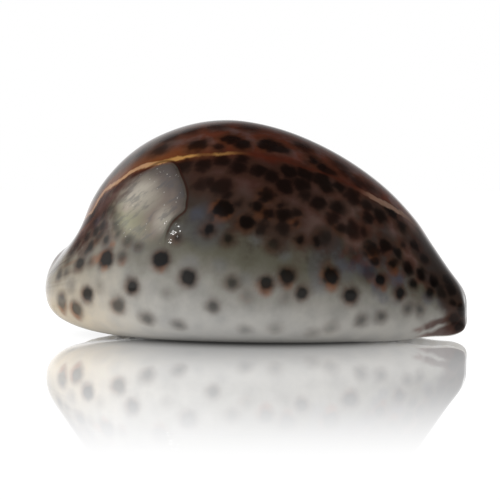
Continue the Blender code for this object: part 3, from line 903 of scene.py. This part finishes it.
class Finish:
    """A material under construction."""

    def __init__(self, tree):
        self.tree = tree
        tree.nodes.clear()

    def add(self, kind, settings=None, inputs=None):
        """Adds one node: its type, then its settings, then the values or links of its sockets."""
        node = self.tree.nodes.new(kind)
        for name, setting in (settings or {}).items():
            setattr(node, name, setting)
        for name, value in (inputs or {}).items():
            if isinstance(value, Value):
                self.tree.links.new(value.socket, node.inputs[name])
            else:
                node.inputs[name].default_value = value
        return node

    def node(self, kind, settings=None, inputs=None, output=0):
        return Value(self, self.add(kind, settings, inputs).outputs[output])

    def note(self, name):
        """What was written down on the mesh under this name."""
        return self.node("ShaderNodeAttribute", {"attribute_name": name}, output="Fac")

    def noise(self, place, scale, detail=2.0, roughness=0.5):
        """Cloudy noise about 0.5, with scale in bumps to a millimetre."""
        return self.node("ShaderNodeTexNoise", {}, {
            "Vector": place, "Scale": scale, "Detail": detail, "Roughness": roughness}, "Fac")

    def blend(self, under, over, share):
        """Two colours, from under at share 0 to over at share 1."""
        return self.node("ShaderNodeMix", {"data_type": "RGBA"}, {0: share, 6: under, 7: over}, 2)

    def deepen(self, under, over, share):
        """The colour multiplied by another colour, by a share."""
        return self.node("ShaderNodeMix", {"data_type": "RGBA", "blend_type": "MULTIPLY"},
                         {0: share, 6: under, 7: over}, 2)

    def coats(self, ground, *coats):
        """The colour after each coat, a colour and its share, has gone over it."""
        for colour, share in coats:
            ground = self.blend(ground, colour, share)
        return ground

    def stretch(self, place, factors):
        return self.node("ShaderNodeVectorMath", {"operation": "MULTIPLY"}, {0: place, 1: factors})

    def join(self, x, y, z):
        return self.node("ShaderNodeCombineXYZ", {}, {0: x, 1: y, 2: z})

    def split(self, vector):
        parts = self.add("ShaderNodeSeparateXYZ", {}, {0: vector})
        return [Value(self, part) for part in parts.outputs]

    def mix(self, under, over, share):
        """Two shaders, from under at share 0 to over at share 1."""
        mixed = self.add("ShaderNodeMixShader", {}, {0: share})
        self.tree.links.new(under.outputs[0], mixed.inputs[1])
        self.tree.links.new(over.outputs[0], mixed.inputs[2])
        return mixed

    def show(self, shader, output="ShaderNodeOutputMaterial"):
        self.tree.links.new(shader.outputs[0], self.add(output).inputs["Surface"])


def new_finish(name):
    material = bpy.data.materials.new(name)
    material.use_nodes = True
    return material, Finish(material.node_tree)


# The glaze, layer by layer

class Skin:
    """What the glaze goes by: the place on the shell in millimetres, the mesh's notes, and cloudy noise."""

    def __init__(self, paint):
        self.place = paint.stretch(paint.node("ShaderNodeTexCoord", {}, {}, "Object"), (1.0 / MM,) * 3)
        self.x, self.y, self.z = paint.split(self.place)
        self.dome, self.dorsal, self.patch = (paint.note(name) for name in ("dome", "dorsal", "patch"))
        self.spot_edge, self.faint = paint.note("spot_edge"), paint.note("spot_faint")
        self.fine = paint.noise(self.place, 1.1, 3.0)
        self.lumpy = paint.noise(self.place, 0.5, 1.0)
        self.cloud = paint.noise(self.place, 0.28, 3.0)
        self.broad = paint.noise(self.place, 0.09, 2.0)
        ragged_dome = self.dome + (self.cloud - 0.5) * 10.0 + (self.fine - 0.5) * 3.0
        self.dome_share = ragged_dome.rising(-3.0, 3.8)
        self.line_edge = self.dorsal + (self.fine - 0.5) * 0.7 + (self.cloud - 0.5) * 1.2
        self.line_back_width = self.x.falling(-14.0, -8.0) * 0.22


def porcelain(paint, skin):
    """Warm at the back, cool grey towards the front and darker up the flank, both partly painted shade,
    with older spots deep inside it.
    """
    x, dome, cloud = skin.x, skin.dome, skin.cloud
    greyer_and_shaded = x.rising(-28.0, -8.0) * 0.6 - x.rising(0.0, 22.0) * 0.15
    level = dome + (cloud - 0.5) * 6.0
    buried = (paint.note("buried_edge") + (skin.fine - 0.5) * 1.1).falling(-0.9, 0.9)
    return paint.coats(
        CREAM,
        (WARM_CREAM, (x + (cloud - 0.5) * 8.0).falling(-38.0, -14.0) * 0.8),
        # Partly painted shade: the porcelain greys towards the front, away from the light at the back.
        (COOL_GREY_AND_PAINTED_SHADE, (greyer_and_shaded + (cloud - 0.5) * 0.4).most(0.0)),
        # Partly painted shade: darker up the flank towards the dome.
        (FLANK_GREY_AND_PAINTED_SHADE, level.rising(-16.0, -6.0) * (0.5 + 0.4 * x.rising(-30.0, -14.0))),
        (OLIVE_GREY, level.rising(-9.0, -2.0) * (0.55 + 0.45 * x.rising(-24.0, -10.0))),
        (BURIED_BLUE, buried * (0.10 + 0.25 * dome.rising(-12.0, 0.0))),
    )


def dark_dome(paint, skin, ground):
    """The dark dome comes in as broken cloud, mottled with pink and blue towards the front."""
    x, dome, cloud, fine = skin.x, skin.dome, skin.cloud, skin.fine
    lower_dome = (dome + (cloud - 0.5) * 8.0).falling(3.0, 14.0) * x.rising(-22.0, -12.0)
    towards_front = x.rising(8.0, 22.0)
    front_flank = towards_front * dome.rising(-9.0, -3.0)
    hues = paint.noise(paint.stretch(skin.place, (1.0, 1.0, 0.6)), 0.16, 1.0)
    near_spot = (skin.spot_edge + (fine - 0.5) * 1.2).falling(-0.2, 2.2)
    colour = paint.coats(
        MAUVE_BROWN,
        (UMBER, (cloud * 0.7 + skin.broad * 0.6 - 0.15).rising(0.25, 0.8)),
        (DUSK, lower_dome * 0.85),
        (DUSK, towards_front * 0.4),
        (PINK_GREY, towards_front * hues.rising(0.46, 0.6) * 0.75),
        (UMBER, near_spot * (0.7 - 0.45 * lower_dome)),
    )
    return paint.coats(
        ground,
        (BLUE_GREY, front_flank * hues.falling(0.4, 0.5) * 0.6),
        (colour, skin.dome_share * (1.0 - 0.2 * towards_front)),
        (RUST, front_flank * near_spot * cloud.rising(0.45, 0.6) * 0.35),
        (BLUE_GREY, paint.note("blue_cloud") * (0.5 + 1.2 * (fine - 0.3)).least(1.0) * 0.5),
        (AMBER, paint.note("amber_cloud") * (0.3 + 1.4 * (fine - 0.2)).least(1.0) * 0.6),
    )


def end_marks(paint, skin, ground):
    """Streaks fan out from the back end. The front end is dark, with brown smears behind it."""
    x, z, cloud, lumpy = skin.x, skin.z, skin.cloud, skin.lumpy
    streaks = paint.noise(paint.join(x * 0.06, paint.note("around") * 46.0, 0.0), 1.0)
    back_end = x.falling(-34.0, -24.0) * skin.dome.rising(-9.0, -1.0)
    front_end = (x + (cloud - 0.5) * 3.0 + z * 0.32).rising(36.6, 39.4)
    height = z - (x - 32.0) * 0.35 + (lumpy - 0.5) * 1.2
    smears = height.rising(1.5, 2.2) * height.falling(2.6, 3.6) + height.falling(0.9, 1.7)
    smears = (smears * z.falling(4.6, 6.4)).least(1.0) * (x + (lumpy - 0.5) * 7.0).rising(30.5, 34.5)
    smear_colour = paint.blend(RUST, UMBER, (x + (cloud - 0.5) * 4.0).rising(32.0, 35.0) * 0.85)
    return paint.coats(
        ground,
        (UMBER, streaks.rising(0.48, 0.7) * back_end * 0.75),
        (AMBER, streaks.falling(0.32, 0.46) * back_end * 0.45),
        (paint.blend(UMBER, DUSK, z.rising(4.0, 8.0) * 0.7), front_end * 0.92),
        (smear_colour, smears * 0.8),
    )


def crest(paint, skin, ground):
    """The rusty crest beyond the dorsal line, with a dark edge and a glow along the line."""
    x, cloud, edge = skin.x, skin.cloud, skin.line_edge
    share = (skin.dorsal + (skin.fine - 0.5) * 0.8).rising(0.2, 1.6) * skin.dome_share
    under_line = (edge + skin.line_back_width).rising(-3.4, -1.6) * edge.falling(-1.0, -0.2)
    glow = edge.rising(-2.4, 0.0) * edge.falling(0.5, 5.0) * x.rising(-22.0, -12.0) * x.falling(20.0, 30.0)
    embers = edge.rising(-1.8, -0.4) * edge.falling(1.2, 5.0) * x.falling(-10.0, -2.0)
    return paint.coats(
        ground,
        (paint.blend(CREST_RUST, PINK_GREY, cloud.rising(0.4, 0.66)), share * 0.8),
        (CREST_GREY, share * x.falling(-20.0, -4.0) * (0.5 + 0.6 * cloud).least(1.0)),
        (UMBER, under_line * x.falling(-20.0, -14.0) * 0.75),
        (RUST, glow * 0.6),
        (AMBER, embers * (0.6 + 1.2 * (cloud - 0.45)).most(0.0).least(1.0) * 0.85),
    )


def spots(paint, skin, ground):
    """Amber rims first, leaning to each spot's lower back side as painted light, then the brown body, then
    the near-black heart. Gives the body's share too.
    """
    faint, lumpy, dome_share = skin.faint, skin.lumpy, skin.dome_share
    edge = skin.spot_edge + (lumpy - 0.5) * (0.9 + 1.1 * dome_share)
    edge = edge + (skin.fine - 0.5) * 0.25 - 0.1 - 0.15 * dome_share
    softness = 0.75 + 0.7 * faint + 0.55 * dome_share
    body = (1.0 - (edge + softness) / (softness * 2.0)).most(0.0).least(1.0)
    body = body * body * (3.0 - 2.0 * body)
    strength = 1.0 - 0.72 * faint - 0.04 * dome_share
    # The rims' amber is their own colour; its lean to the lower, back side of each spot is painted light.
    amber = paint.note("amber_rim_and_lit_side") * lumpy.rising(0.36, 0.56)
    halo = (edge.falling(0.0, 1.6) * 0.22 + amber * 0.3).least(0.9)
    colour = paint.coats(
        SPOT_BROWN,
        (paint.blend(SPOT_BLACK, DEEP_BROWN, dome_share * 0.5), edge.falling(-0.75, 0.25)),
        (AMBER, amber * edge.rising(-0.9, -0.1) * 0.45),
    )
    ground = paint.coats(
        ground,
        (paint.blend(SPOT_BROWN, AMBER, amber * 1.3), halo * strength),
        (colour, body * strength),
    )
    return ground, body


def dorsal_line(paint, skin):
    """The line's colour and its share: honey at the back, then rust, and tan at both tips."""
    x, edge, back_width = skin.x, skin.line_edge, skin.line_back_width
    colour = paint.coats(
        HONEY,
        (RUST, x.rising(-5.0, 3.0)),
        (BLUSH, x.falling(-31.0, -27.0).most(x.rising(22.0, 26.0)) * 0.4),
        (TAN, x.falling(-18.0, -13.0).most(x.rising(20.0, 24.0)) * 0.6),
    )
    front_tip = x.rising(19.0, 24.0)
    width = back_width + front_tip * 0.4
    gap = x.rising(-8.8, -6.4) * x.falling(-5.0, -3.4)
    line = (edge + width).rising(-0.7, -0.1) * (edge - width).falling(0.0, 0.6)
    line = line * (0.55 + 0.9 * skin.lumpy + back_width) * (1.0 - 0.8 * gap)
    run = x.rising(-36.0, -31.0) * x.falling(27.0, 33.0) * (1.0 - 0.4 * x.falling(-27.0, -21.0))
    boldness = 0.3 + 0.65 * x.falling(-6.0, 4.0).most(front_tip)
    return colour, (line * run * boldness).least(1.0)


def youngest_glaze(paint, skin, ground, spot_body):
    """A thin blue-grey veil, and the thick cloudy patch over the back of the dome, with a painted sheen in
    its pale middle, a painted shadow below its sharp ledge and a painted highlight along its rim.
    """
    x, z, patch, fine, lumpy, cloud = skin.x, skin.z, skin.patch, skin.fine, skin.lumpy, skin.cloud
    sharp = x.rising(-20.5, -16.5).most(z.rising(28.0, 32.0))
    thins = (z + (cloud - 0.5) * 6.0).rising(*PATCH_FADES)
    crisp = (patch + (fine - 0.5) * 0.35 - 0.2).rising(0.0, 0.5)
    fuzzy = (patch + (lumpy - 0.5) * 3.0).rising(-1.2, 3.4)
    share = (crisp * sharp + fuzzy * (1.0 - sharp)) * thins
    across, along = z * 0.75 - x * 0.65, x * 0.65 + z * 0.75
    smear = paint.noise(paint.join(across * 0.75, along * 0.22, skin.y * 0.2), 1.0, 3.0, 0.6)
    colour = paint.coats(
        SAGE,
        (BLUSH, (x * 0.09 + z * 0.05 + 0.7 + (cloud - 0.5) * 2.0).rising(0.0, 1.0)),
        (PATCH_GREY, (x + z * 0.3).rising(-15.0, -6.0) * 0.8),
        (SLATE, (x * 0.6 + z * 0.8 + (lumpy - 0.5) * 5.0).rising(12.0, 18.0) * 0.5),
        # Partly the patch's pale colour, partly a painted sheen of mirrored light.
        (PATCH_PALE_AND_SHEEN, (paint.note("pale_glaze_and_sheen") * (0.8 + 1.4 * (smear - 0.5))).least(1.0)),
        (BURIED_BLUE, smear.falling(0.38, 0.5) * 0.4),
        (DUSK, patch.rising(-0.2, 0.1) * patch.falling(0.5, 3.0) * 0.35),
    )
    # Below the sharp ledge a painted shadow; just inside the patch's rim, a painted highlight.
    ledge = patch.rising(-0.5, -0.2) * patch.falling(-0.1, 0.15) * sharp * thins
    rim_highlight = patch.rising(0.0, 0.2) * patch.falling(0.3, 0.6) * sharp * thins
    pinpricks = paint.noise(skin.place, 2.2, 0.0).rising(0.78, 0.84) * share
    return paint.coats(
        ground,
        (SLATE, paint.note("veil") * (1.0 - spot_body * 0.8) * 0.45),
        (colour, share * (0.86 - 0.3 * spot_body)),
        # Painted shadow at the ledge's foot, then a painted highlight on the rim.
        (UMBER, ledge * 0.6),
        (PATCH_PALE_AND_SHEEN, rim_highlight * 0.1),
        (PORCELAIN, pinpricks * 0.7),
    )


def spotted_glaze():
    """The shell's colours, with painted light and shade among them, from the pale porcelain out to the
    youngest glaze.
    """
    material, paint = new_finish("spotted_glaze")
    skin = Skin(paint)
    ground = porcelain(paint, skin)
    for growth in (dark_dome, end_marks, crest):
        ground = growth(paint, skin, ground)
    ground, spot_body = spots(paint, skin, ground)
    ground = paint.blend(ground, *dorsal_line(paint, skin))
    ground = youngest_glaze(paint, skin, ground, spot_body)

    # The base and lips are bare porcelain, lilac deep inside
    lip_share = paint.note("lip")
    ground = paint.blend(ground, PORCELAIN, lip_share.most(skin.z.falling(0.2, 1.0)) * 0.85)
    # The grooves between the teeth: creamier and darker, partly cream colour and partly painted shade in
    # the grooves.
    ground = paint.deepen(ground, CREAM, paint.note("groove") * 0.55)
    ground = paint.blend(ground, LILAC, paint.note("hollow") * 0.8)

    height = (skin.lumpy - 0.5) * 0.004 + (skin.cloud - 0.5) * 0.008
    paint.show(paint.add("ShaderNodeBsdfPrincipled", {}, {
        "Base Color": ground,
        "Roughness": 0.03 + 0.035 * skin.cloud + 0.2 * lip_share,
        "Normal": paint.node("ShaderNodeBump", {}, {"Strength": 1.0, "Distance": MM, "Height": height}),
        "IOR": GLAZE_IOR,
    }))
    return material


def polished_table():
    """White gloss: a mirror at the shell's foot under painted light that thickens further out, darkest in a
    painted shadow round the foot.

    Seen from above the mirror weakens and the painted light shows, as on any polish.
    """
    material, paint = new_finish("polished_table")
    geometry = paint.add("ShaderNodeNewGeometry")
    place, backfacing = (Value(paint, geometry.outputs[name]) for name in ("Position", "Backfacing"))

    def away(across, out):
        """The distance from the shell's foot, 1 on an oval that is across wide and out deep."""
        flat = paint.stretch(place, (1.0 / (across * MM), 1.0 / (out * MM), 0.0))
        return paint.node("ShaderNodeVectorMath", {"operation": "LENGTH"}, {0: flat}, "Value")

    out, clear_of_foot_shadow = away(*TABLE_OVAL), away(*FOOT_SHADOW_OVAL).rising(0.8, 1.5)
    from_above = paint.node("ShaderNodeLayerWeight", {}, {"Blend": 0.5}, "Facing").falling(0.66, 0.84)
    mirror = TABLE_MIRROR * out.falling(0.56, 1.02) * (1.0 - 0.85 * from_above)
    # Painted light: the table glows, faintest in a painted shadow round the shell's foot and brightest far
    # out, where no shade of the shell falls.
    painted_floor_light = 0.01 + clear_of_foot_shadow * (0.24 + 0.17 * out.rising(0.2, 0.5)) + 0.6 * out.rising(0.48, 1.04)
    glow = painted_floor_light.most(clear_of_foot_shadow * from_above * 0.5) / (1.0 - mirror)
    white = paint.add("ShaderNodeBsdfPrincipled", {}, {
        "Base Color": (0.1, 0.1, 0.1, 1.0), "Roughness": 0.6, "Specular IOR Level": 0.0,
        "Emission Color": paint.join(glow, glow, glow), "Emission Strength": 1.0})
    gloss = paint.add("ShaderNodeBsdfAnisotropic", {}, {"Color": WHITE, "Roughness": 0.02})
    clear = paint.add("ShaderNodeBsdfTransparent")
    paint.show(paint.mix(paint.mix(white, gloss, mirror), clear, backfacing))
    return material


# Setting up the picture

def put_in_scene(name, data):
    item = bpy.data.objects.new(name, data)
    bpy.context.scene.collection.objects.link(item)
    return item


def aim(item, direction, axis):
    """Turns one of the item's own axes to a direction."""
    item.rotation_mode = "QUATERNION"
    item.rotation_quaternion = Vector(direction).to_track_quat(axis, "Y")


def make_shell(sight):
    shell = Shell()
    raise_patch(shell, sight)
    shell.normals = shell.corner_normals()
    shell.tree = BVHTree.FromPolygons(shell.corners.tolist(), shell.faces)
    mesh = bpy.data.meshes.new("cowrie")
    mesh.from_pydata((shell.corners * MM).tolist(), [], shell.faces)
    mesh.shade_smooth()
    dress_shell(mesh, shell, sight)
    mesh.materials.append(spotted_glaze())
    cowrie = put_in_scene("cowrie", mesh)
    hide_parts("cowrie_shell")
    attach(cowrie, "root")
    return shell


def make_table():
    mesh = bpy.data.meshes.new("table_top")
    side = TABLE_HALF
    mesh.from_pydata([(-side, -side, 0), (side, -side, 0), (side, side, 0), (-side, side, 0)], [],
                     [(0, 1, 2, 3)])
    mesh.materials.append(polished_table())
    table = put_in_scene("table_top", mesh)


def make_camera(sight):
    lens = bpy.data.cameras.new("portrait_camera")
    lens.lens, lens.sensor_width = LENS, SENSOR
    lens.clip_start, lens.clip_end = 0.01, 20.0
    camera = put_in_scene("portrait_camera", lens)
    camera.location = Vector(sight.place) * MM
    aim(camera, -sight.back, "-Z")
    bpy.context.scene.camera = camera


def make_studio_light():
    """A pale wall behind, brightest low down, a window to the left, and one high panel for the crest."""
    world = bpy.data.worlds.new("studio")
    bpy.context.scene.world = world
    world.use_nodes = True
    paint = Finish(world.node_tree)
    x, y, z = paint.split(paint.node("ShaderNodeTexCoord", {}, {}, "Generated"))
    skirting = z.falling(0.08, 0.28) * 0.54
    wall_tone = 0.46 - 0.28 * x.rising(0.0, 0.8) - 0.25 * x.falling(-0.8, -0.3)
    wall = y.rising(0.0, 0.7) * z.falling(0.15, 0.65) * wall_tone
    window = (x * -0.9 - y * 0.45).rising(0.4, 1.0) * z.falling(0.3, 0.8) * 1.7
    high_panel = (x * -0.4 + y * 0.85 + z * 0.35).rising(0.95, 1.0) * z.rising(0.1, 0.3) * 0.35
    light = 0.04 + wall + skirting + window + high_panel
    room, backdrop = (paint.add("ShaderNodeBackground", {}, {"Color": colour, "Strength": 1.0})
                      for colour in (paint.join(light, light, light), WHITE))
    straight = paint.node("ShaderNodeLightPath", {}, {}, "Is Camera Ray")
    paint.show(paint.mix(room, backdrop, straight), "ShaderNodeOutputWorld")


def make_glint_lamps(shell, sight):
    """Small lamps placed so that the dome mirrors them where the picture has its broken glint."""
    for number, (across, down, radius) in enumerate(GLINTS):
        point, normal = (Vector(found) for found in sight.cast(shell.tree, (across, down)))
        view = (Vector(sight.place) - point).normalized()
        bounce = (2.0 * view.dot(normal) * normal - view).normalized()
        lamp = bpy.data.lights.new(f"glint_lamp_{number}", "AREA")
        lamp.shape = "DISK"
        lamp.size = 4.0 * radius / PIXELS_PER_MM * MM * LAMP_AWAY / DOME_BEND
        lamp.energy = LAMP_BRIGHTNESS * (math.pi * lamp.size / 2) ** 2
        holder = put_in_scene(lamp.name, lamp)
        holder.location = point * MM + bounce * LAMP_AWAY
        aim(holder, bounce, "Z")


sight = Sight()
shell = make_shell(sight)
make_table()
make_camera(sight)
make_studio_light()
make_glint_lamps(shell, sight)
bpy.context.scene.view_settings.view_transform = "Standard"
